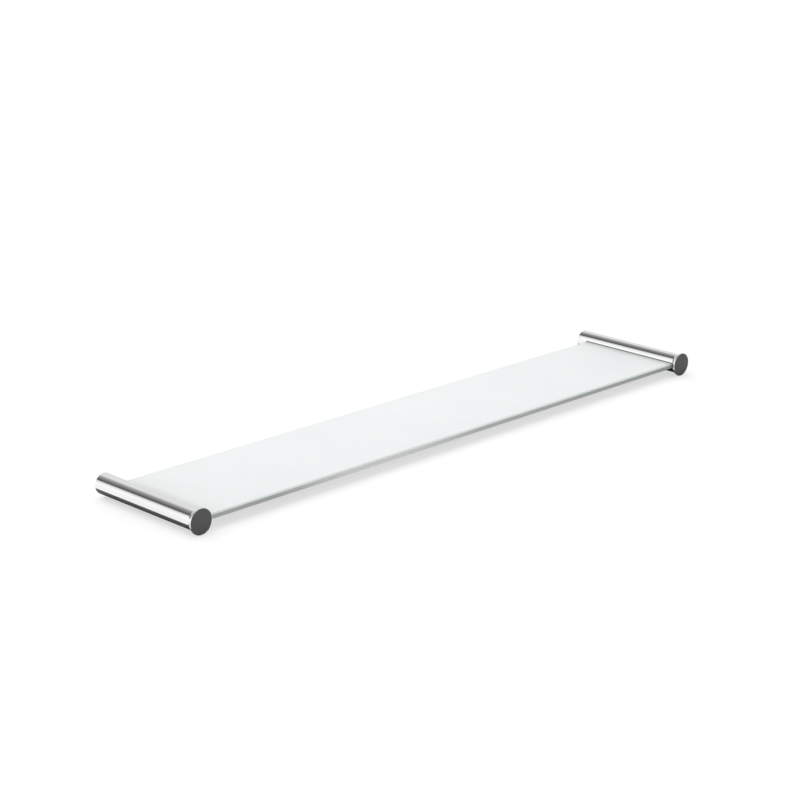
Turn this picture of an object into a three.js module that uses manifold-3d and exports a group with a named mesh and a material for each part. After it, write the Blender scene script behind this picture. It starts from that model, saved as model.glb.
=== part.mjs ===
// Glass wall shelf on two slotted chrome tube brackets.
//
// Millimetres, +Z up. X runs along the shelf, +Y points into the wall and the wall's surface is y = 0,
// so the shelf reaches out towards -Y. The origin lies on the wall, midway between the brackets, at the
// height of the tubes' axes.

import * as THREE from 'three';
import { mergeVertices } from 'three/addons/utils/BufferGeometryUtils.js';
import Module from 'manifold-3d';

const wasm = await Module();
wasm.setup();

// ---------------------------------------------------------------- driving dimensions

const BRACKET_SPACING = 592;   // between the two tube axes
const DEPTH = 122;             // wall to the front lip of the tubes
const FIT = 0.15;              // radial clearance between a turned piece and its bore
const SKIN = 0.1;              // clearance between flat faces that rest on each other
const PAST = 1;                // how far a cutter runs past what it cuts

const TUBE = { radius: 9, wall: 1.5, edge: 0.3 };
const FLARE = { run: 4.5, rise: 2, land: 0.5 };
const LIP = { wall: 0.4, recess: 1.6, edge: 0.15 };

const GLASS = { thickness: 5, depth: 106.8, front: 3.4, centre: -0.4, arris: 1.1, endFromAxis: 1.5 };
const SLOT = { height: 5.8, beyondGlass: 0.9, cornerRadius: 1 };
const GASKET = { lip: 0.3, web: 0.5, fromAxis: 9.6, gap: 0.05 };   // gap: all round the glass

const DISC = { thickness: 1.3, radius: 10.5, behindLip: 0.2, edge: 0.2 };
const STEM = { clearance: 0.2, length: 7, edge: 0.5, glassRoom: 0.3 };   // the disc's push-in stem
const SLEEVE = { length: 7.8, boreRadius: 5.5, fromFlange: 0.4 };
const SPIGOT = { flangeThickness: 1.6, radius: 5.3, length: 9.2, edge: 0.4 };
const WALL_SCREW_HOLE = { radius: 2.25, sinkRadius: 4.2 };   // countersunk, for a 4 mm screw
const GROOVE = { depth: 1.2, halfWidth: 1.6 };

// set screws: tip is the height of the screw's upper end, hex the key's width across flats
const MOUNT_SCREW = { radius: 2, length: 3.8, tip: -4.8, tipRadius: 0.8, tipHeight: 0.8, hex: 2, socket: 1.6 };
const CLAMP_SCREW = {
  radius: 1.5, length: 3, tip: -4.8, tipRadius: 1.1, tipHeight: 0.4, hex: 1.5, socket: 1.2,
};
const SCREW_EDGE = 0.3;        // chamfer at the set screws' outer ends
const CLAMP_FROM_AXIS = 2.6;   // clamp screws stand this far inward of the tube's axis
const CLAMP_SHARES = { front: 0.25, rear: 0.75 };   // along the glass, counted from its front edge
const PAD = { width: 4.4, length: 10, corner: 1.2, top: -3.35, height: 1.3 };
const BAR = { top: -5.15, endGap: 1.5 };

// round pieces, by how fine they need to be
const FINE = 52;
const MEDIUM = 32;
const COARSE = 20;
const FLARE_STEPS = 6;
const CORNER_STEPS = 6;
const HEX_SIDES = 6;
const WELD = 1e-4;

// ---------------------------------------------------------------- derived places

const boreRadius = TUBE.radius - TUBE.wall;
const lipRadius = TUBE.radius + FLARE.rise;
const frontY = -DEPTH;
const glassFrontY = frontY + GLASS.front;
const glassBackY = glassFrontY + GLASS.depth;
const glassTop = GLASS.centre + GLASS.thickness / 2;
const glassBottom = GLASS.centre - GLASS.thickness / 2;
const sleeveRearY = -SPIGOT.flangeThickness - SLEEVE.fromFlange;
const discFaceY = frontY + DISC.behindLip;
const discBackY = discFaceY + DISC.thickness;
const stemEndY = discBackY + STEM.length;
const mountScrewY = -(SPIGOT.flangeThickness + SPIGOT.length) / 2;

// ---------------------------------------------------------------- materials

const chrome = () => new THREE.MeshStandardMaterial({ color: 0xdadcdd, roughness: 0.06, metalness: 1 });
const darkLacquer = () => new THREE.MeshStandardMaterial({ color: 0x57585a, roughness: 0.4, metalness: 0.3 });
const satinGlass = () => new THREE.MeshStandardMaterial({ color: 0xe6eeec, roughness: 0.45, metalness: 0 });
const darkRubber = () => new THREE.MeshStandardMaterial({ color: 0x3a3b3d, roughness: 0.6, metalness: 0 });
const nylon = () => new THREE.MeshStandardMaterial({ color: 0xe6e2d8, roughness: 0.55, metalness: 0 });
const steel = () => new THREE.MeshStandardMaterial({ color: 0x9a9c9e, roughness: 0.35, metalness: 1 });

// ---------------------------------------------------------------- solids

// One closed body from a three.js geometry: vertices welded, collapsed triangles dropped.
function solid(geometry) {
  const bare = geometry.clone();
  bare.deleteAttribute('normal');
  bare.deleteAttribute('uv');
  const welded = mergeVertices(bare, WELD);
  const corners = welded.index.array;
  const triangles = [];
  for (let i = 0; i < corners.length; i += 3) {
    const [a, b, c] = [corners[i], corners[i + 1], corners[i + 2]];
    if (a !== b && b !== c && c !== a) triangles.push(a, b, c);
  }
  return new wasm.Manifold(new wasm.Mesh({
    numProp: 3,
    vertProperties: new Float32Array(welded.attributes.position.array),
    triVerts: new Uint32Array(triangles),
  }));
}

function geometryOf(body) {
  const { vertProperties, triVerts } = body.getMesh();
  const geometry = new THREE.BufferGeometry();
  geometry.setAttribute('position', new THREE.BufferAttribute(vertProperties, 3));
  geometry.setIndex(new THREE.BufferAttribute(triVerts, 1));
  return geometry;
}

function cut(body, ...tools) {
  return tools.reduce((rest, tool) => rest.subtract(tool), body);
}

// A turned piece: [radius, y] points, outside first from the wall towards the front, about the Y axis.
function turned(points, segments) {
  const profile = points.map(([radius, y]) => new THREE.Vector2(radius, y));
  return new THREE.LatheGeometry(profile.reverse(), segments);
}

// The same for a ring, whose profile closes on itself.
function turnedRing(points, segments) {
  return turned([...points, points[0]], segments);
}

function extruded(shape, depth) {
  return new THREE.ExtrudeGeometry(shape, { depth, bevelEnabled: false, curveSegments: CORNER_STEPS });
}

// A shape drawn in (x, z), extruded from y = back towards the front.
function extrudedAlongY(shape, back, length) {
  const basis = new THREE.Matrix4().makeBasis(
    new THREE.Vector3(1, 0, 0), new THREE.Vector3(0, 0, 1), new THREE.Vector3(0, -1, 0));
  return extruded(shape, length).applyMatrix4(basis).translate(0, back, 0);
}

// A shape drawn in (y, z), extruded along +X from x = start.
function extrudedAlongX(shape, start, length) {
  const basis = new THREE.Matrix4().makeBasis(
    new THREE.Vector3(0, 1, 0), new THREE.Vector3(0, 0, 1), new THREE.Vector3(1, 0, 0));
  return extruded(shape, length).applyMatrix4(basis).translate(start, 0, 0);
}

function polygon(points) {
  return new THREE.Shape(points.map(([x, y]) => new THREE.Vector2(x, y)));
}

function roundedRectangle(x0, y0, x1, y1, radius) {
  const shape = new THREE.Shape();
  shape.moveTo(x0 + radius, y0);
  shape.lineTo(x1 - radius, y0);
  shape.absarc(x1 - radius, y0 + radius, radius, -Math.PI / 2, 0);
  shape.lineTo(x1, y1 - radius);
  shape.absarc(x1 - radius, y1 - radius, radius, 0, Math.PI / 2);
  shape.lineTo(x0 + radius, y1);
  shape.absarc(x0 + radius, y1 - radius, radius, Math.PI / 2, Math.PI);
  shape.lineTo(x0, y0 + radius);
  shape.absarc(x0 + radius, y0 + radius, radius, Math.PI, Math.PI * 1.5);
  return shape;
}

// A drill along Z, from below the tube up to z = top.
function drill(x, y, radius, top) {
  const bottom = -TUBE.radius - PAST;
  const geometry = new THREE.CylinderGeometry(radius, radius, top - bottom, COARSE);
  return solid(geometry.rotateX(Math.PI / 2).translate(x, y, (top + bottom) / 2));
}

// ---------------------------------------------------------------- glass plate

function glassShelf() {
  const { arris } = GLASS;
  const section = polygon([
    [glassFrontY + arris, glassBottom], [glassBackY - arris, glassBottom],
    [glassBackY, glassBottom + arris], [glassBackY, glassTop - arris],
    [glassBackY - arris, glassTop], [glassFrontY + arris, glassTop],
    [glassFrontY, glassTop - arris], [glassFrontY, glassBottom + arris],
  ]);
  const length = BRACKET_SPACING - 2 * GLASS.endFromAxis;
  return extrudedAlongX(section, -length / 2, length);
}

// ---------------------------------------------------------------- bracket pieces
// Each is drawn about the tube's own axis. inward is +1 where the glass lies towards +X, and -1 where it
// lies towards -X.

// Outside of the flare: an arc that leaves the tube's wall smoothly and rises to the lip.
function flareOutline() {
  const radius = (FLARE.run ** 2 + FLARE.rise ** 2) / (2 * FLARE.rise);
  const start = frontY + FLARE.run + FLARE.land;
  const points = [];
  for (let step = 0; step <= FLARE_STEPS; step += 1) {
    const along = FLARE.run * step / FLARE_STEPS;
    points.push([TUBE.radius + radius - Math.sqrt(radius ** 2 - along ** 2), start - along]);
  }
  return points;
}

function slotCutter(inward) {
  const opening = roundedRectangle(
    glassFrontY - SLOT.beyondGlass, GLASS.centre - SLOT.height / 2,
    glassBackY + SLOT.beyondGlass, GLASS.centre + SLOT.height / 2, SLOT.cornerRadius);
  const reach = lipRadius + PAST;
  return solid(extrudedAlongX(opening, inward > 0 ? 0 : -reach, reach));
}

function bracketTube(inward) {
  const blank = solid(turnedRing([
    [TUBE.radius - TUBE.edge, 0],
    [TUBE.radius, -TUBE.edge],
    ...flareOutline(),
    [lipRadius, frontY + LIP.edge],
    [lipRadius - LIP.edge, frontY],
    [lipRadius - LIP.wall, frontY],
    [lipRadius - LIP.wall, frontY + LIP.recess],
    [boreRadius, frontY + LIP.recess],
    [boreRadius, 0],
  ], FINE));
  const holes = clampPlaces(inward).map(({ x, y }) => drill(x, y, CLAMP_SCREW.radius + FIT, BAR.top));
  const mountHole = drill(0, mountScrewY, MOUNT_SCREW.radius + FIT, 0);
  return geometryOf(cut(blank, slotCutter(inward), mountHole, ...holes));
}

// Disc with a push-in stem; the stem is cut away where the glass passes.
function frontDisc(inward) {
  const stemRadius = boreRadius - STEM.clearance;
  const blank = solid(turned([
    [0, stemEndY],
    [stemRadius - STEM.edge, stemEndY],
    [stemRadius, stemEndY - STEM.edge],
    [stemRadius, discBackY],
    [DISC.radius, discBackY],
    [DISC.radius, discFaceY + DISC.edge],
    [DISC.radius - DISC.edge, discFaceY],
    [0, discFaceY],
  ], FINE));
  const nearAxis = inward * (GLASS.endFromAxis - GASKET.web - SKIN - STEM.glassRoom);
  const halfHeight = SLOT.height / 2 + STEM.glassRoom;
  const passage = polygon([
    [nearAxis, GLASS.centre - halfHeight], [inward * lipRadius, GLASS.centre - halfHeight],
    [inward * lipRadius, GLASS.centre + halfHeight], [nearAxis, GLASS.centre + halfHeight],
  ]);
  return geometryOf(cut(blank, solid(extrudedAlongY(passage, stemEndY + PAST, STEM.length + PAST))));
}

function slotGasket(inward) {
  const inner = inward * (GLASS.endFromAxis - GASKET.gap);
  const back = inner - inward * GASKET.web;
  const mouth = inward * GASKET.fromAxis;
  const low = glassBottom - GASKET.gap;
  const high = glassTop + GASKET.gap;
  const section = polygon([
    [back, low - GASKET.lip], [mouth, low - GASKET.lip], [mouth, low], [inner, low],
    [inner, high], [mouth, high], [mouth, high + GASKET.lip], [back, high + GASKET.lip],
  ]);
  return extrudedAlongY(section, glassBackY, GLASS.depth);
}

function rearSleeve() {
  const frontEnd = sleeveRearY - SLEEVE.length;
  const outer = boreRadius - FIT;
  const ring = solid(turnedRing([
    [outer - TUBE.edge, sleeveRearY],
    [outer, sleeveRearY - TUBE.edge],
    [outer, frontEnd + TUBE.edge],
    [outer - TUBE.edge, frontEnd],
    [SLEEVE.boreRadius, frontEnd],
    [SLEEVE.boreRadius, sleeveRearY],
  ], MEDIUM));
  return geometryOf(cut(ring, drill(0, mountScrewY, MOUNT_SCREW.radius + FIT, 0)));
}

// Boss with a base flange, a V groove for the mounting screw and a countersunk hole for the wall screw.
function wallSpigot() {
  const { radius, length, edge, flangeThickness } = SPIGOT;
  const hole = WALL_SCREW_HOLE;
  const tip = -length;
  return turnedRing([
    [boreRadius - 2 * FIT, 0],
    [boreRadius - 2 * FIT, -flangeThickness],
    [radius, -flangeThickness],
    [radius, mountScrewY + GROOVE.halfWidth],
    [radius - GROOVE.depth, mountScrewY],
    [radius, mountScrewY - GROOVE.halfWidth],
    [radius, tip + edge],
    [radius - edge, tip],
    [hole.sinkRadius, tip],
    [hole.radius, tip + hole.sinkRadius - hole.radius],
    [hole.radius, 0],
  ], MEDIUM);
}

// Set screw standing along Z: tip at the top, hex socket opening downwards.
function setScrew({ radius, length, tip, tipRadius, tipHeight, hex, socket }) {
  const body = new THREE.LatheGeometry([
    new THREE.Vector2(0, tip - length),
    new THREE.Vector2(radius - SCREW_EDGE, tip - length),
    new THREE.Vector2(radius, tip - length + SCREW_EDGE),
    new THREE.Vector2(radius, tip - tipHeight),
    new THREE.Vector2(tipRadius, tip),
    new THREE.Vector2(0, tip),
  ], COARSE);
  const cornerRadius = hex / Math.sqrt(3);
  const key = new THREE.CylinderGeometry(cornerRadius, cornerRadius, socket + PAST, HEX_SIDES);
  key.translate(0, tip - length + (socket - PAST) / 2, 0);
  return geometryOf(cut(solid(body), solid(key))).rotateX(Math.PI / 2);
}

// Nut strip: the segment of a round bar that lies on the floor of the tube's bore.
function clampBar(inward) {
  const radius = boreRadius - 2 * FIT;
  const half = Math.acos(-BAR.top / radius);
  const section = new THREE.Shape();
  section.absarc(0, 0, radius, -Math.PI / 2 - half, -Math.PI / 2 + half);
  const back = glassBackY - BAR.endGap;
  const front = stemEndY + BAR.endGap;
  const strip = solid(extrudedAlongY(section, back, back - front));
  const holes = clampPlaces(inward).map(({ x, y }) => drill(x, y, CLAMP_SCREW.radius + FIT, 0));
  return geometryOf(cut(strip, ...holes));
}

function clampPad() {
  const shape = roundedRectangle(-PAD.width / 2, -PAD.length / 2, PAD.width / 2, PAD.length / 2, PAD.corner);
  return extruded(shape, PAD.height).translate(0, 0, PAD.top - PAD.height);
}

function clampPlaces(inward) {
  return Object.entries(CLAMP_SHARES).map(([name, share]) => (
    { name, x: inward * CLAMP_FROM_AXIS, y: glassFrontY + share * GLASS.depth }));
}

// ---------------------------------------------------------------- assembly

function piece(name, geometry, material, x = 0, y = 0) {
  const mesh = new THREE.Mesh(geometry, material);
  mesh.name = name;
  mesh.position.set(x, y, 0);
  return mesh;
}

function bracket(side, inward) {
  const group = new THREE.Group();
  group.position.x = -inward * BRACKET_SPACING / 2;
  group.add(
    piece(`${side}_bracket_tube`, bracketTube(inward), chrome()),
    piece(`${side}_front_disc`, frontDisc(inward), darkLacquer()),
    piece(`${side}_slot_gasket`, slotGasket(inward), darkRubber()),
    piece(`${side}_rear_sleeve`, rearSleeve(), steel()),
    piece(`${side}_wall_spigot`, wallSpigot(), steel()),
    piece(`${side}_mount_grub_screw`, setScrew(MOUNT_SCREW), steel(), 0, mountScrewY),
    piece(`${side}_clamp_bar`, clampBar(inward), steel()),
  );
  for (const { name, x, y } of clampPlaces(inward)) {
    group.add(
      piece(`${side}_clamp_screw_${name}`, setScrew(CLAMP_SCREW), steel(), x, y),
      piece(`${side}_clamp_pad_${name}`, clampPad(), nylon(), x, y),
    );
  }
  return group;
}

const shelf = new THREE.Group();
shelf.add(piece('glass_shelf', glassShelf(), satinGlass()));
shelf.add(bracket('left', 1));
shelf.add(bracket('right', -1));

export default shelf;
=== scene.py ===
import math

import bmesh
import bpy
from mathutils import Matrix, Vector


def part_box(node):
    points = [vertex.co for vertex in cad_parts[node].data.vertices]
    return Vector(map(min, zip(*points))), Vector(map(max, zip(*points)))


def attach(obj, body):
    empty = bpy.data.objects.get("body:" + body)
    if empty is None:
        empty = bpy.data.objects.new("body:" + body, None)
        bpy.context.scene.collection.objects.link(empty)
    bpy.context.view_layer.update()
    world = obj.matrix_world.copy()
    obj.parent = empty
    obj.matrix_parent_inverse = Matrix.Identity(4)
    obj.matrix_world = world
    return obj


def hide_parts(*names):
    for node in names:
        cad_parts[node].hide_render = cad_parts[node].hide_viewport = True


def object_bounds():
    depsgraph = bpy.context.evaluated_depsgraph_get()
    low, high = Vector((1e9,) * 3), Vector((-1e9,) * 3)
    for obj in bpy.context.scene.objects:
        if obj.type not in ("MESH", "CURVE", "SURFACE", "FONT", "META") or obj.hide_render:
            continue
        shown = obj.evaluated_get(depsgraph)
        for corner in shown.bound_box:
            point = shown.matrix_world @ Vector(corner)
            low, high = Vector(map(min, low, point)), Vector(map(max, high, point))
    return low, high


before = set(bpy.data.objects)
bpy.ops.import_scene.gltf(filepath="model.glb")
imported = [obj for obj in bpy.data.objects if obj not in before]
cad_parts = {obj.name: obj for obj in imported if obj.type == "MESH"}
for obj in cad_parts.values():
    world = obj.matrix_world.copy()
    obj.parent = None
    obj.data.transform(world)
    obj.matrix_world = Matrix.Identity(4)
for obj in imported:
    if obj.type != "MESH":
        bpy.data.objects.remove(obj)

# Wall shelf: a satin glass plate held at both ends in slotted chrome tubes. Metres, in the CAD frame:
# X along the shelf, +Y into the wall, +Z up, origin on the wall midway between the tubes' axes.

MM = 0.001
CAD_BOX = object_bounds()
SIDES = {"left": 1, "right": -1}    # and the way along X in which the glass lies from each tube

# ---------------------------------------------------------------- driving values

# camera: the shelf is seen from its front left and a little above
VIEW_AZIMUTH = math.radians(-44.81)
VIEW_ELEVATION = math.radians(17.74)
VIEW_DISTANCE = 1.8836
VIEW_ASIDE = -0.0147                # of the aim, from the shelf's middle to the right in the picture
VIEW_ABOVE = 0.01656
LENS = 96.5
SENSOR = 36

EDGE = 0.15 * MM                    # rounding of turned and ground edges
THIN = 0.1 * MM                     # the same on the finest edges
POLE = 1e-6                         # a ring with a smaller radius is a single point

# segments round the turned pieces
TUBE_SEGMENTS = 192
DISC_SEGMENTS = 160
RING_SEGMENTS = 96
SCREW_SEGMENTS = 72
HOLE_SEGMENTS = 48
STRIP_STEPS = 32                    # across the clamp strip's round underside
CORNER_STEPS = 4                    # in a rounded corner
FINE_STEPS = 8                      # in the larger ones

# glass
ARRIS = 1.1 * MM
END_CHAMFER = 0.4 * MM
EDGE_TINT = 3.5 * MM                # width of the green tint along the long edges
END_SHADE = [(7, 0.72), (9, 0.74), (11.5, 0.83), (15, 0.95), (20, 1)]   # mm from the glass end, and the tone of the painted shade there
SIDE_FACE = 0.3                     # a face is on the glass edge where its normal's Z part is below this
FLAT_FACE = 0.95                    # and flat underside, not arris, where it is beyond this

# tube, with its slot and lip
TUBE_RADIUS = 9 * MM
BORE_RADIUS = 7.5 * MM
TUBE_EDGE = 0.3 * MM
FLARE_RUN = 4.5 * MM
FLARE_LAND = 0.5 * MM
FLARE_STEPS = 20
LIP_WALL = 0.4 * MM
LIP_DEPTH = 1.6 * MM
SLOT_CORNER = 1 * MM
SLOT_PAST_GLASS = 0.9 * MM
SLOT_HEIGHT = 5.8 * MM
SLOT_REACH = 1.5 * TUBE_RADIUS      # from the axis, past the tube's wall
HOLE_CLEARANCE = 0.15 * MM          # round a screw
HOLE_SINK = 0.25 * MM               # countersink at a hole's mouth
PAST = 2 * MM                       # how far a drill runs past what it cuts

# disc
DISC_THICKNESS = 1.3 * MM
DISC_EDGE = 0.2 * MM
STEM_RADIUS = 7.3 * MM
STEM_EDGE = 0.5 * MM
STEM_RING = 0.25 * MM               # depth of the two grip grooves
STEM_RINGS = (0.65, 0.35)           # their places, as shares of the stem
PASSAGE = 3.2 * MM                  # half height of the stem's cut-out for the glass

# seal
SEAL_LIP = 0.3 * MM
SEAL_WEB = 0.5 * MM

# spigot
SPIGOT_FLANGE = 1.6 * MM
SPIGOT_RADIUS = 5.3 * MM
SPIGOT_EDGE = 0.4 * MM
GROOVE_DEPTH = 1.2 * MM
GROOVE_HALF_WIDTH = 1.6 * MM
WALL_HOLE = 2.25 * MM
WALL_HOLE_SINK = 4.2 * MM
SLEEVE_BORE = 5.5 * MM

# set screws, with the tip at the top and the hex socket below: thread, then tip, then key
MOUNT_SCREW = {"pitch": 0.7 * MM, "tip": 0.8 * MM, "cone": 0.8 * MM, "key": 2 * MM, "socket": 1.6 * MM}
CLAMP_SCREW = {"pitch": 0.5 * MM, "tip": 1.1 * MM, "cone": 0.4 * MM, "key": 1.5 * MM, "socket": 1.2 * MM}
SCREW_CHAMFER = 0.3 * MM
THREAD_DEPTH = 0.55                 # of the pitch
CREST = 0.2                         # flat share of a thread's ridge
ROWS_PER_TURN = 10

PAD_CORNER = 1.2 * MM
PAD_EDGE = 0.3 * MM
PAD_STEPS = 5

NOISE_RANGE = (0.3, 0.7)            # what most of a noise texture's values lie in

# ---------------------------------------------------------------- camera


def add_camera():
    back = Vector((
        math.sin(VIEW_AZIMUTH) * math.cos(VIEW_ELEVATION),
        -math.cos(VIEW_AZIMUTH) * math.cos(VIEW_ELEVATION),
        math.sin(VIEW_ELEVATION)))
    right = Vector((math.cos(VIEW_AZIMUTH), math.sin(VIEW_AZIMUTH), 0))
    up = back.cross(right)
    middle = Vector((0, (CAD_BOX[0].y + CAD_BOX[1].y) / 2, 0))
    data = bpy.data.cameras.new("camera")
    data.lens = LENS
    data.sensor_width = SENSOR
    camera = bpy.data.objects.new("camera", data)
    camera.location = middle + back * VIEW_DISTANCE + right * VIEW_ASIDE + up * VIEW_ABOVE
    camera.rotation_mode = "QUATERNION"
    camera.rotation_quaternion = back.to_track_quat("Z", "Y")
    bpy.context.collection.objects.link(camera)
    bpy.context.scene.camera = camera


add_camera()

# ---------------------------------------------------------------- mesh tools


def new_piece(name, bm):
    """A mesh object from a bmesh, with faces turned out and welded."""
    bmesh.ops.remove_doubles(bm, verts=bm.verts, dist=1e-7)
    bmesh.ops.recalc_face_normals(bm, faces=bm.faces)
    mesh = bpy.data.meshes.new(name)
    bm.to_mesh(mesh)
    bm.free()
    piece = bpy.data.objects.new(name, mesh)
    bpy.context.collection.objects.link(piece)
    return piece


def loft(name, rings, closed=False):
    """Skins a row of rings of equally many points. A ring of one point is a pole, an open end gets a cap."""
    bm = bmesh.new()
    rows = [[bm.verts.new(point) for point in ring] for ring in rings]
    count = max(len(row) for row in rows)
    if closed:
        rows.append(rows[0])
    else:
        for end in (rows[0], rows[-1]):
            if len(end) > 1:
                bm.faces.new(end)
    for row, following in zip(rows, rows[1:]):
        for i in range(count):
            j = (i + 1) % count
            corners = [row[i % len(row)], row[j % len(row)],
                       following[j % len(following)], following[i % len(following)]]
            bm.faces.new(list(dict.fromkeys(corners)))
    return new_piece(name, bm)


def circle(radius, segments):
    if radius < POLE:
        return [(0, 0)]
    turns = [2 * math.pi * i / segments for i in range(segments)]
    return [(radius * math.cos(turn), radius * math.sin(turn)) for turn in turns]


def lathe(name, outline, segments, x=0, closed=False):
    """Turns (radius, y) points about the line through x along Y."""
    return loft(name, [[(x + a, y, b) for a, b in circle(radius, segments)] for radius, y in outline], closed)


def rounded(corners, steps=CORNER_STEPS):
    """An outline of (a, b, radius) corners, as points with each corner rounded to its radius."""
    points = []
    for i, (a, b, radius) in enumerate(corners):
        here = Vector((a, b))
        if radius <= 0:
            points.append(here)
            continue
        before = (Vector(corners[i - 1][:2]) - here).normalized()
        after = (Vector(corners[(i + 1) % len(corners)][:2]) - here).normalized()
        half = before.angle(after) / 2
        reach = radius / math.tan(half)
        centre = here + (before + after).normalized() * radius / math.sin(half)
        start = here + before * reach - centre
        sweep = start.angle_signed(here + after * reach - centre)
        for step in range(steps + 1):
            points.append(centre + Matrix.Rotation(-sweep * step / steps, 2) @ start)
    return points


def rectangle(a0, b0, a1, b1, radius):
    return rounded([(a0, b0, radius), (a1, b0, radius), (a1, b1, radius), (a0, b1, radius)], FINE_STEPS)


def carve(piece, *cutters):
    """Cuts the cutters out of the piece and removes them."""
    for cutter in cutters:
        cut = piece.modifiers.new("cut", "BOOLEAN")
        cut.operation = "DIFFERENCE"
        cut.solver = "EXACT"
        cut.object = cutter
    graph = bpy.context.evaluated_depsgraph_get()
    carved = bpy.data.meshes.new_from_object(piece.evaluated_get(graph))
    piece.modifiers.clear()
    piece.data = carved
    for cutter in cutters:
        bpy.data.objects.remove(cutter)


def drill(screw_node, mouth):
    """A cutter for a screw's hole, along Z from below, with a small countersink at height mouth."""
    low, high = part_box(screw_node)
    centre = (low + high) / 2
    radius = (high.x - low.x) / 2 + HOLE_CLEARANCE
    profile = [(radius + HOLE_SINK + PAST, mouth - PAST), (radius + HOLE_SINK, mouth),
               (radius, mouth + HOLE_SINK), (radius, 0)]
    rings = []
    for ring_radius, z in profile:
        rings.append([(centre.x + a, centre.y + b, z) for a, b in circle(ring_radius, HOLE_SEGMENTS)])
    return loft("drill", rings)


def axis_of(side):
    low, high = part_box(f"{side}_bracket_tube")
    return (low.x + high.x) / 2


def finish_piece(piece, node, slot, *materials, smooth=30):
    piece.data.materials.clear()
    for material in materials:
        piece.data.materials.append(material)
    for face in piece.data.polygons:
        face.use_smooth = True
    piece.data.set_sharp_from_angle(angle=math.radians(smooth))
    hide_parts(node)
    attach(piece, "root")


# ---------------------------------------------------------------- material tools


class Nodes:
    """A material with one Principled shader, and short calls for the nodes that feed it."""

    def __init__(self, name):
        self.material = bpy.data.materials.new(name)
        self.material.use_nodes = True
        self.tree = self.material.node_tree
        self.shader = self.tree.nodes["Principled BSDF"]
        self.place = self.tree.nodes.new("ShaderNodeTexCoord").outputs["Object"]

    def set(self, **values):
        for key, value in values.items():
            self.shader.inputs[key.replace("_", " ")].default_value = value

    def feed(self, source, socket):
        self.tree.links.new(source, self.shader.inputs[socket])

    def stretched(self, x=1, y=1, z=1):
        mapping = self.tree.nodes.new("ShaderNodeMapping")
        mapping.inputs["Scale"].default_value = (x, y, z)
        self.tree.links.new(self.place, mapping.inputs["Vector"])
        return mapping.outputs["Vector"]

    def noise(self, scale, detail=3, where=None):
        noise = self.tree.nodes.new("ShaderNodeTexNoise")
        noise.inputs["Scale"].default_value = scale
        noise.inputs["Detail"].default_value = detail
        self.tree.links.new(where or self.place, noise.inputs["Vector"])
        return noise.outputs["Fac"]

    def along(self, axis, start, stop):
        """0 to 1 from start to stop along an axis of the object."""
        split = self.tree.nodes.new("ShaderNodeSeparateXYZ")
        self.tree.links.new(self.place, split.inputs["Vector"])
        return self.spread(split.outputs[axis], 0, 1, start, stop)

    def spread(self, factor, low, high, start=NOISE_RANGE[0], stop=NOISE_RANGE[1]):
        """Maps a factor, from start to stop, to numbers from low to high."""
        span = self.tree.nodes.new("ShaderNodeMapRange")
        span.inputs["From Min"].default_value = start
        span.inputs["From Max"].default_value = stop
        span.inputs["To Min"].default_value = low
        span.inputs["To Max"].default_value = high
        self.tree.links.new(factor, span.inputs["Value"])
        return span.outputs["Result"]

    def colours(self, noise, low, high):
        return colour_ramp(self.tree, noise, [(NOISE_RANGE[0], low), (NOISE_RANGE[1], high)])

    def tinted(self, colour, tint):
        """Multiplies two colours."""
        mix = self.tree.nodes.new("ShaderNodeMix")
        mix.data_type = "RGBA"
        mix.blend_type = "MULTIPLY"
        mix.inputs["Factor"].default_value = 1
        self.tree.links.new(colour, mix.inputs["A"])
        self.tree.links.new(tint, mix.inputs["B"])
        return mix.outputs["Result"]

    def bump(self, height, strength, depth):
        bump = self.tree.nodes.new("ShaderNodeBump")
        bump.inputs["Strength"].default_value = strength
        bump.inputs["Distance"].default_value = depth
        self.tree.links.new(height, bump.inputs["Height"])
        self.feed(bump.outputs["Normal"], "Normal")


def colour_ramp(tree, factor, stops):
    """Colours along a factor, from (place, colour) stops."""
    ramp = tree.nodes.new("ShaderNodeValToRGB")
    elements = ramp.color_ramp.elements
    for i, (place, colour) in enumerate(stops):
        element = elements[i] if i < 2 else elements.new(place)
        element.position = place
        element.color = (*colour, 1)
    tree.links.new(factor, ramp.inputs["Fac"])
    return ramp.outputs["Color"]


def math_node(tree, operation, first, second):
    node = tree.nodes.new("ShaderNodeMath")
    node.operation = operation
    for source, socket in zip((first, second), node.inputs):
        if isinstance(source, (int, float)):
            socket.default_value = source
        else:
            tree.links.new(source, socket)
    return node.outputs["Value"]


def grey(light):
    return (light, light, light)


# ---------------------------------------------------------------- materials


def polished_chrome():
    n = Nodes("polished_chrome")
    n.set(Metallic=1.0)
    cloud = n.noise(35, 4)
    n.feed(n.colours(cloud, (0.85, 0.855, 0.86), (0.89, 0.895, 0.9)), "Base Color")
    wiping = n.noise(90, 5, n.stretched(1, 0.15, 1))
    n.feed(n.spread(wiping, 0.025, 0.06), "Roughness")
    n.bump(n.noise(260, 2), 0.05, 0.01 * MM)
    return n.material


def dark_lacquer():
    n = Nodes("dark_lacquer")
    n.set(IOR=1.5, Specular_IOR_Level=0.25)
    grain = n.noise(2600, 4)
    n.feed(n.colours(grain, grey(0.082), grey(0.096)), "Base Color")
    n.feed(n.spread(n.noise(120, 3), 0.52, 0.62), "Roughness")
    n.bump(grain, 0.25, 0.01 * MM)
    return n.material


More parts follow.
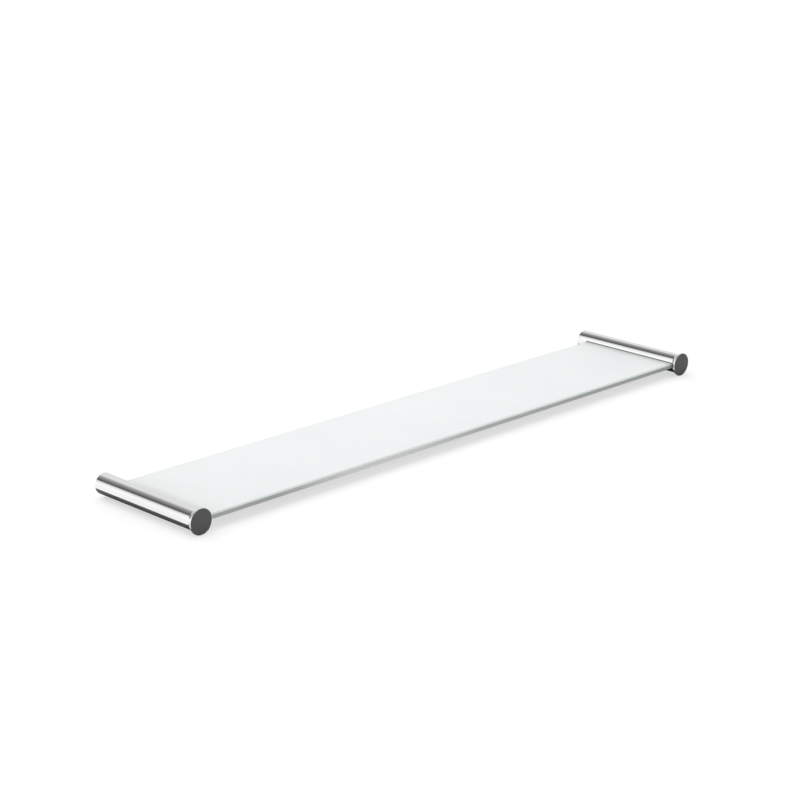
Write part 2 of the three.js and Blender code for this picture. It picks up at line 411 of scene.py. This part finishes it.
def satin_glass():
    """Etched glass: pale, a little green at its long edges, and darker towards each end with painted shade,
    as if the tubes shaded it.
    """
    n = Nodes("satin_glass")
    n.set(IOR=1.5, Transmission_Weight=0.18)
    low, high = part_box("glass_shelf")
    cloud = n.noise(14, 3)
    green, clear = (0.9, 0.945, 0.93), grey(1)
    border = EDGE_TINT / (high.y - low.y)
    edges = colour_ramp(n.tree, n.along("Y", low.y, high.y), [
        (0, green), (border, clear), (1 - border, clear), (1, green)])
    # painted shade: the glass darkens towards each end, beside the tube that holds it
    shade = []
    for distance, tone in END_SHADE:
        shade.append((distance * MM / (high.x - low.x), (tone, tone * 1.015, tone * 1.01)))
    mirrored = [(1 - place, colour) for place, colour in reversed(shade)]
    painted_end_shade = colour_ramp(n.tree, n.along("X", low.x, high.x), shade + mirrored)
    pale = n.colours(cloud, (0.865, 0.875, 0.88), (0.89, 0.9, 0.905))
    n.feed(n.tinted(n.tinted(pale, edges), painted_end_shade), "Base Color")
    grain = n.noise(3200, 3)
    n.feed(n.spread(grain, 0.44, 0.54), "Roughness")
    n.bump(grain, 0.2, 0.01 * MM)
    return n.material


def ground_glass_edge():
    """Ground glass, painted lighter and darker along its length: a painted highlight over part of it, and
    painted shade that deepens towards the right tube's end.
    """
    n = Nodes("ground_glass_edge")
    n.set(IOR=1.5)
    low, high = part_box("glass_shelf")
    streaks = n.noise(700, 4, n.stretched(0.08, 1, 1))
    # painted highlight over part of the edge, and painted shade towards the right tube's end
    painted_edge_light = colour_ramp(n.tree, n.along("X", low.x, high.x), [
        (0, (0.6, 0.61, 0.61)), (0.13, grey(0.58)), (0.26, grey(1)), (0.4, grey(1)),
        (0.54, (0.66, 0.67, 0.67)), (0.8, (0.54, 0.55, 0.55)), (1, (0.46, 0.49, 0.49))])
    n.feed(n.tinted(n.colours(streaks, (0.6, 0.61, 0.61), (0.66, 0.67, 0.67)), painted_edge_light), "Base Color")
    n.feed(n.spread(streaks, 0.3, 0.42), "Roughness")
    n.bump(streaks, 0.2, 0.01 * MM)
    return n.material


def dark_seal():
    n = Nodes("dark_seal")
    n.set(IOR=1.45, Specular_IOR_Level=0.12)
    cloud = n.noise(220, 3)
    n.feed(n.colours(cloud, grey(0.022), grey(0.034)), "Base Color")
    n.feed(n.spread(cloud, 0.5, 0.65), "Roughness")
    n.bump(n.noise(1500, 3), 0.2, 0.01 * MM)
    return n.material


def nylon():
    n = Nodes("nylon")
    n.set(IOR=1.53, Subsurface_Weight=0.2, Subsurface_Radius=(1.2 * MM, 1.1 * MM, MM))
    cloud = n.noise(500, 4)
    n.feed(n.colours(cloud, (0.72, 0.7, 0.63), (0.79, 0.77, 0.71)), "Base Color")
    n.feed(n.spread(cloud, 0.45, 0.6), "Roughness")
    n.bump(cloud, 0.2, 0.02 * MM)
    return n.material


def turned_steel():
    n = Nodes("turned_steel")
    n.set(Metallic=1.0)
    lines = n.noise(1800, 3, n.stretched(0.1, 1, 0.1))
    n.feed(n.colours(lines, (0.46, 0.46, 0.47), (0.58, 0.58, 0.585)), "Base Color")
    n.feed(n.spread(lines, 0.24, 0.38), "Roughness")
    n.bump(lines, 0.3, 0.01 * MM)
    return n.material


CHROME = polished_chrome()
LACQUER = dark_lacquer()
SATIN = satin_glass()
GROUND = ground_glass_edge()
SEAL = dark_seal()
NYLON = nylon()
STEEL = turned_steel()

# ---------------------------------------------------------------- glass plate


def glass_plate():
    low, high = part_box("glass_shelf")

    def section(x, inset):
        y0, y1, z0, z1 = low.y + inset, high.y - inset, low.z + inset, high.z - inset
        outline = [(y0 + ARRIS, z0), (y1 - ARRIS, z0), (y1, z0 + ARRIS), (y1, z1 - ARRIS),
                   (y1 - ARRIS, z1), (y0 + ARRIS, z1), (y0, z1 - ARRIS), (y0, z0 + ARRIS)]
        return [(x, y, z) for y, z in rounded([(y, z, EDGE) for y, z in outline])]

    piece = loft("glass_plate", [
        section(low.x, END_CHAMFER), section(low.x + END_CHAMFER, 0),
        section(high.x - END_CHAMFER, 0), section(high.x, END_CHAMFER)])
    finish_piece(piece, "glass_shelf", "satin_glass", SATIN, GROUND, smooth=20)
    for face in piece.data.polygons:
        side_face = abs(face.normal.z) < SIDE_FACE
        lower_arris = -FLAT_FACE < face.normal.z < 0
        if side_face or lower_arris:
            face.material_index = 1


# ---------------------------------------------------------------- brackets


def flare(front):
    """Outside of the flare: an arc that leaves the tube's wall smoothly and rises to the lip."""
    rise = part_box("left_bracket_tube")[1].z - TUBE_RADIUS
    radius = (FLARE_RUN ** 2 + rise ** 2) / (2 * rise)
    points = []
    for step in range(FLARE_STEPS + 1):
        along = FLARE_RUN * step / FLARE_STEPS
        points.append((TUBE_RADIUS + radius - math.sqrt(radius ** 2 - along ** 2),
                       front + FLARE_LAND + FLARE_RUN - along))
    return points


def slot_cutter(side):
    low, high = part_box("glass_shelf")
    middle = (low.z + high.z) / 2
    outline = rectangle(
        low.y - SLOT_PAST_GLASS, middle - SLOT_HEIGHT / 2,
        high.y + SLOT_PAST_GLASS, middle + SLOT_HEIGHT / 2, SLOT_CORNER)
    axis = axis_of(side)
    past_tube = axis + SIDES[side] * SLOT_REACH
    return loft("slot", [[(x, y, z) for y, z in outline] for x in (axis, past_tube)])


def true_cylinder_normals(piece, axis):
    """Gives the straight outer wall the exact normals of a cylinder, so that long reflections stay clean."""
    mesh = piece.data
    near, aligned, level = THIN / 5, 0.99, 0.001
    normals = [Vector((0, 0, 0))] * len(mesh.loops)
    for face in mesh.polygons:
        for loop in face.loop_indices:
            corner = mesh.vertices[mesh.loops[loop].vertex_index].co
            out = Vector((corner.x - axis, 0, corner.z))
            on_wall = abs(out.length - TUBE_RADIUS) < near
            if on_wall and face.normal.dot(out.normalized()) > aligned and abs(face.normal.y) < level:
                normals[loop] = out.normalized()
    mesh.normals_split_custom_set(normals)


def bracket_tube(side):
    node = f"{side}_bracket_tube"
    low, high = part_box(node)
    axis = axis_of(side)
    front, wall, lip = low.y, high.y, high.z
    corners = [(TUBE_RADIUS, wall, TUBE_EDGE)]
    corners += [(radius, y, 0) for radius, y in flare(front)]
    corners += [
        (lip, front, EDGE),
        (lip - LIP_WALL, front, THIN),
        (lip - LIP_WALL, front + LIP_DEPTH, 0),
        (BORE_RADIUS, front + LIP_DEPTH, 0),
        (BORE_RADIUS, wall, EDGE)]
    piece = lathe(f"{side}_tube", rounded(corners), TUBE_SEGMENTS, axis, closed=True)
    screws = ("mount_grub_screw", "clamp_screw_front", "clamp_screw_rear")
    carve(piece, slot_cutter(side), *[drill(f"{side}_{name}", -TUBE_RADIUS) for name in screws])
    finish_piece(piece, node, "chrome", CHROME)
    true_cylinder_normals(piece, axis)


def front_disc(side):
    """Cap with a push-in stem, which has two grip grooves and a cut-out where the glass passes."""
    node = f"{side}_front_disc"
    low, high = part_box(node)
    axis = axis_of(side)
    radius = (high.x - low.x) / 2
    back = low.y + DISC_THICKNESS
    corners = [(0, high.y, 0), (STEM_RADIUS, high.y, STEM_EDGE)]
    for share in STEM_RINGS:
        middle = back + share * (high.y - back)
        corners += [(STEM_RADIUS, middle + STEM_EDGE, THIN), (STEM_RADIUS - STEM_RING, middle, THIN),
                    (STEM_RADIUS, middle - STEM_EDGE, THIN)]
    corners += [(STEM_RADIUS, back, 0), (radius, back, THIN), (radius, low.y, DISC_EDGE), (0, low.y, 0)]
    piece = lathe(f"{side}_end_disc", rounded(corners), DISC_SEGMENTS, axis)

    glass_low, glass_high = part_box("glass_shelf")
    middle = (glass_low.z + glass_high.z) / 2
    glass_end = glass_low.x if side == "left" else glass_high.x
    seal_back = glass_end - SIDES[side] * 2 * SEAL_WEB
    past_stem = axis + SIDES[side] * TUBE_RADIUS
    outline = [(seal_back, middle - PASSAGE), (past_stem, middle - PASSAGE),
               (past_stem, middle + PASSAGE), (seal_back, middle + PASSAGE)]
    carve(piece, loft("passage", [[(x, y, z) for x, z in outline] for y in (back, high.y + MM)]))
    finish_piece(piece, node, "dark_lacquer", LACQUER)


def slot_seal(side):
    """U-section round the glass end, drawn with its mouth towards the glass."""
    node = f"{side}_slot_gasket"
    low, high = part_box(node)
    inward = SIDES[side]
    back, mouth = (low.x, high.x) if inward > 0 else (high.x, low.x)
    floor = back + inward * SEAL_WEB
    lower, upper = low.z + SEAL_LIP, high.z - SEAL_LIP
    corners = [
        (back, low.z, EDGE), (mouth, low.z, THIN), (mouth, lower, THIN), (floor, lower, THIN),
        (floor, upper, THIN), (mouth, upper, THIN), (mouth, high.z, THIN), (back, high.z, EDGE)]
    piece = loft(f"{side}_seal", [[(x, y, z) for x, z in rounded(corners)] for y in (low.y, high.y)])
    finish_piece(piece, node, "dark_seal", SEAL)


def rear_sleeve(side):
    node = f"{side}_rear_sleeve"
    low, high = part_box(node)
    outer = (high.x - low.x) / 2
    corners = [(outer, high.y, TUBE_EDGE), (outer, low.y, TUBE_EDGE),
               (SLEEVE_BORE, low.y, TUBE_EDGE), (SLEEVE_BORE, high.y, TUBE_EDGE)]
    piece = lathe(f"{side}_sleeve", rounded(corners), RING_SEGMENTS, axis_of(side), closed=True)
    carve(piece, drill(f"{side}_mount_grub_screw", -outer))
    finish_piece(piece, node, "steel", STEEL)


def wall_spigot(side):
    """Boss with a base flange, a V groove for the mounting screw and a countersunk hole."""
    node = f"{side}_wall_spigot"
    low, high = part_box(node)
    flange = (high.x - low.x) / 2
    groove = (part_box(f"{side}_mount_grub_screw")[0].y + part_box(f"{side}_mount_grub_screw")[1].y) / 2
    sink = WALL_HOLE_SINK - WALL_HOLE
    corners = [
        (flange, high.y, EDGE), (flange, high.y - SPIGOT_FLANGE, TUBE_EDGE),
        (SPIGOT_RADIUS, high.y - SPIGOT_FLANGE, EDGE),
        (SPIGOT_RADIUS, groove + GROOVE_HALF_WIDTH, THIN),
        (SPIGOT_RADIUS - GROOVE_DEPTH, groove, EDGE),
        (SPIGOT_RADIUS, groove - GROOVE_HALF_WIDTH, THIN),
        (SPIGOT_RADIUS, low.y, SPIGOT_EDGE), (WALL_HOLE_SINK, low.y, EDGE),
        (WALL_HOLE, low.y + sink, 0), (WALL_HOLE, high.y, EDGE)]
    piece = lathe(f"{side}_spigot", rounded(corners), RING_SEGMENTS, axis_of(side), closed=True)
    finish_piece(piece, node, "steel", STEEL)


def set_screw(name, node, pitch, tip, cone, key, socket):
    """Headless screw along Z: a helical thread, a cone tip on top and a hex socket from below."""
    low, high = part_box(node)
    centre = (low + high) / 2
    radius = (high.x - low.x) / 2
    turns = [2 * math.pi * i / SCREW_SEGMENTS for i in range(SCREW_SEGMENTS)]

    def thread(z, turn):
        phase = (z / pitch - turn / (2 * math.pi)) % 1
        valley = max(0, abs(2 * phase - 1) - CREST) / (1 - CREST)
        chamfer = radius - SCREW_CHAMFER + (z - low.z)
        point = tip + (radius - tip) * (high.z - z) / cone
        return min(radius - THREAD_DEPTH * pitch * valley, chamfer, point)

    def hexagon(turn, across):
        within = (turn + math.pi / 6) % (math.pi / 3) - math.pi / 6
        return across / 2 / math.cos(within)

    def ring(z, size):
        return [(centre.x + size(turn) * math.cos(turn), centre.y + size(turn) * math.sin(turn), z)
                for turn in turns]

    rows = math.ceil((high.z - low.z) / pitch * ROWS_PER_TURN)
    heights = [low.z + (high.z - low.z) * row / rows for row in range(rows + 1)]
    rings = [[(centre.x, centre.y, high.z)]]
    rings += [ring(z, lambda turn, z=z: thread(z, turn)) for z in reversed(heights)]
    rings += [ring(low.z, lambda turn: hexagon(turn, key + THIN)),
              ring(low.z + THIN, lambda turn: hexagon(turn, key)),
              ring(low.z + socket, lambda turn: hexagon(turn, key)),
              [(centre.x, centre.y, low.z + socket + key / 4)]]
    piece = loft(name, rings)
    finish_piece(piece, node, "steel", STEEL, smooth=50)


def clamp_strip(side):
    """Nut strip: a round bar's segment on the floor of the bore, with two countersunk holes."""
    node = f"{side}_clamp_bar"
    low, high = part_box(node)
    axis = axis_of(side)
    radius = -low.z
    half = math.acos(-high.z / radius)

    def section(y, inset):
        outer = radius - inset
        arc = [-math.pi / 2 + half * (2 * step / STRIP_STEPS - 1) for step in range(STRIP_STEPS + 1)]
        lower = [(axis + outer * math.cos(turn), outer * math.sin(turn)) for turn in arc]
        return [(x, y, min(z, high.z - inset)) for x, z in lower]

    piece = loft(f"{side}_clamp_strip", [
        section(low.y, TUBE_EDGE), section(low.y + TUBE_EDGE, 0),
        section(high.y - TUBE_EDGE, 0), section(high.y, TUBE_EDGE)])
    carve(piece, *[drill(f"{side}_clamp_screw_{name}", low.z) for name in ("front", "rear")])
    finish_piece(piece, node, "steel", STEEL)


def clamp_pad(name, node):
    """Moulded shoe with rounded corners and edges."""
    low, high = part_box(node)

    def layer(z, inset):
        outline = rectangle(low.x + inset, low.y + inset, high.x - inset, high.y - inset, PAD_CORNER - inset)
        return [(x, y, z) for x, y in outline]

    rounding = []
    for step in range(PAD_STEPS + 1):
        turn = math.pi / 2 * step / PAD_STEPS
        rounding.append((PAD_EDGE * (1 - math.sin(turn)), PAD_EDGE * (1 - math.cos(turn))))
    lower = [layer(low.z + rise, inset) for inset, rise in rounding]
    upper = [layer(high.z - rise, inset) for inset, rise in reversed(rounding)]
    piece = loft(name, lower + upper)
    finish_piece(piece, node, "nylon", NYLON)


glass_plate()
for side in SIDES:
    bracket_tube(side)
    front_disc(side)
    slot_seal(side)
    rear_sleeve(side)
    wall_spigot(side)
    clamp_strip(side)
    set_screw(f"{side}_mount_screw", f"{side}_mount_grub_screw", **MOUNT_SCREW)
    for end in ("front", "rear"):
        set_screw(f"{side}_{end}_clamp_screw", f"{side}_clamp_screw_{end}", **CLAMP_SCREW)
        clamp_pad(f"{side}_{end}_clamp_pad", f"{side}_clamp_pad_{end}")

# ---------------------------------------------------------------- stage

FLOOR_HALF_SIZE = 9
FLOOR_GLOW = 0.61                   # the shade that is left where the shelf keeps all light off the floor
FLOOR_TONE = (0.36, 0.38)
GLOW_END = -123 * MM                # behind this line the floor's glow doesn't light the shelf's underside
FILL = 0.62                         # even light from all round
KEY = 1.8                           # broad light from above and a little behind
KEY_TILT = math.radians(25)
KEY_WIDTH = math.radians(85)
LAMP_PLACE = (-0.03, -0.06, 0.35)
LAMP_SIZE = (0.35, 0.12)
LAMP_POWER = 0.08
BACKDROP = 1.05
FLAG_REACH = 15.5 * MM              # half width of the dark card under each tube
FLAG_PAST_WALL = 4 * FLAG_REACH     # how far that card runs on behind the wall's plane
CARD_HEIGHT = 12 * MM               # of the dark card that stands on each tube
CARD_TONE = 0.13

# Chrome sees long strips that run beside the tubes. They are given by their angle about Y, in degrees from
# +X over the top: a light side, a slow fall to dark, and a crisp edge back to white. They lean with the
# direction's Y part, as strips that stand at a slant to the tubes do.
STRIPS = [(0, 0.76), (60, 0.85), (72, 0.82), (84, 0.56), (95, 0.36), (108, 0.26), (118, 0.17),
          (130, 0.12), (137, 0.115), (140, 0.6), (150, 0.85), (162, 1.05), (172, 1.1)]
LEAN = 155                          # degrees for each unit of Y
LEAN_FROM = 0.741                   # the Y part at which the strips stand at the angles given


def hide_from(obj, *rays):
    for ray in rays:
        setattr(obj, f"visible_{ray}", False)


def add_floor():
    bm = bmesh.new()
    bmesh.ops.create_grid(bm, x_segments=8, y_segments=8, size=FLOOR_HALF_SIZE)
    floor = new_piece("floor", bm)
    floor.location.z = CAD_BOX[0].z
    n = Nodes("pale_floor")
    n.set(Roughness=1.0, Specular_IOR_Level=0.0, Emission_Color=(1, 1, 1, 1))
    n.feed(n.colours(n.noise(6, 2), grey(FLOOR_TONE[0]), grey(FLOOR_TONE[1])), "Base Color")
    rays = n.tree.nodes.new("ShaderNodeLightPath")
    behind = n.along("Y", GLOW_END, GLOW_END + MM)
    unlit = math_node(n.tree, "MULTIPLY", rays.outputs["Is Diffuse Ray"], behind)
    lit = math_node(n.tree, "SUBTRACT", 1, unlit)
    n.feed(math_node(n.tree, "MULTIPLY", lit, FLOOR_GLOW), "Emission Strength")
    floor.data.materials.append(n.material)


def add_dark_card(name, corners, *hidden_from):
    """A dark card of the studio, which the camera doesn't see."""
    bm = bmesh.new()
    bm.faces.new([bm.verts.new(corner) for corner in corners])
    card = new_piece(name, bm)
    n = Nodes(name)
    n.set(Roughness=1.0, Specular_IOR_Level=0.0, Base_Color=(*grey(CARD_TONE), 1))
    card.data.materials.append(n.material)
    hide_from(card, "camera", "transmission", *hidden_from)


def add_cards(side):
    """One card on the floor, for the chrome to reflect, and one on the tube, to shade the glass beside it."""
    low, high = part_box(f"{side}_bracket_tube")
    axis = axis_of(side)
    floor = CAD_BOX[0].z + THIN
    near, far = low.y - FLAG_REACH, high.y + FLAG_PAST_WALL
    add_dark_card(f"{side}_floor_card", [
        (axis - FLAG_REACH, near, floor), (axis + FLAG_REACH, near, floor),
        (axis + FLAG_REACH, far, floor), (axis - FLAG_REACH, far, floor)], "diffuse", "shadow")
    foot, top = TUBE_RADIUS, TUBE_RADIUS + CARD_HEIGHT
    add_dark_card(f"{side}_tube_card", [
        (axis, low.y, foot), (axis, high.y, foot), (axis, high.y, top), (axis, low.y, top)], "glossy")


def add_world():
    world = bpy.data.worlds.new("studio")
    world.use_nodes = True
    tree = world.node_tree
    tree.nodes.clear()

    def background(light):
        node = tree.nodes.new("ShaderNodeBackground")
        node.inputs["Color"].default_value = (*grey(light), 1)
        return node

    def mixed(switch, plain, chosen):
        node = tree.nodes.new("ShaderNodeMixShader")
        tree.links.new(switch, node.inputs["Fac"])
        tree.links.new(plain.outputs[0], node.inputs[1])
        tree.links.new(chosen.outputs[0], node.inputs[2])
        return node

    direction = tree.nodes.new("ShaderNodeTexCoord")
    split = tree.nodes.new("ShaderNodeSeparateXYZ")
    tree.links.new(direction.outputs["Generated"], split.inputs["Vector"])
    x, y, z = split.outputs
    half_turns = math_node(tree, "DIVIDE", math_node(tree, "ARCTAN2", z, x), math.pi)
    forward = math_node(tree, "SUBTRACT", LEAN_FROM, math_node(tree, "ABSOLUTE", y, 0))
    lean = math_node(tree, "MULTIPLY", forward, LEAN / 180)
    studio = background(1)
    strips = colour_ramp(tree, math_node(tree, "ADD", half_turns, lean),
                         [(angle / 180, grey(light)) for angle, light in STRIPS])
    tree.links.new(strips, studio.inputs["Color"])

    rays = tree.nodes.new("ShaderNodeLightPath")
    seen = mixed(rays.outputs["Is Camera Ray"], background(FILL), background(BACKDROP))
    # chrome shows the studio, but throws none of it on to its neighbours
    direct = math_node(tree, "LESS_THAN", rays.outputs["Diffuse Depth"], 1)
    tree.links.new(direct, studio.inputs["Strength"])
    output = tree.nodes.new("ShaderNodeOutputWorld")
    tree.links.new(mixed(rays.outputs["Is Glossy Ray"], seen, studio).outputs[0], output.inputs["Surface"])
    bpy.context.scene.world = world


def add_key_light():
    data = bpy.data.lights.new("key", "SUN")
    data.energy = KEY
    data.angle = KEY_WIDTH
    light = bpy.data.objects.new("key", data)
    light.rotation_euler = (-KEY_TILT, 0, 0)
    hide_from(light, "camera", "glossy")
    bpy.context.collection.objects.link(light)


def add_lamp():
    """A small soft lamp over the plate."""
    data = bpy.data.lights.new("lamp", "AREA")
    data.shape = "RECTANGLE"
    data.size, data.size_y = LAMP_SIZE
    data.energy = LAMP_POWER
    light = bpy.data.objects.new("lamp", data)
    light.location = LAMP_PLACE
    hide_from(light, "camera", "glossy")
    bpy.context.collection.objects.link(light)


def set_view():
    scene = bpy.context.scene
    scene.view_settings.view_transform = "Standard"
    scene.view_settings.look = "None"


add_floor()
for side in SIDES:
    add_cards(side)
add_world()
add_key_light()
add_lamp()
set_view()
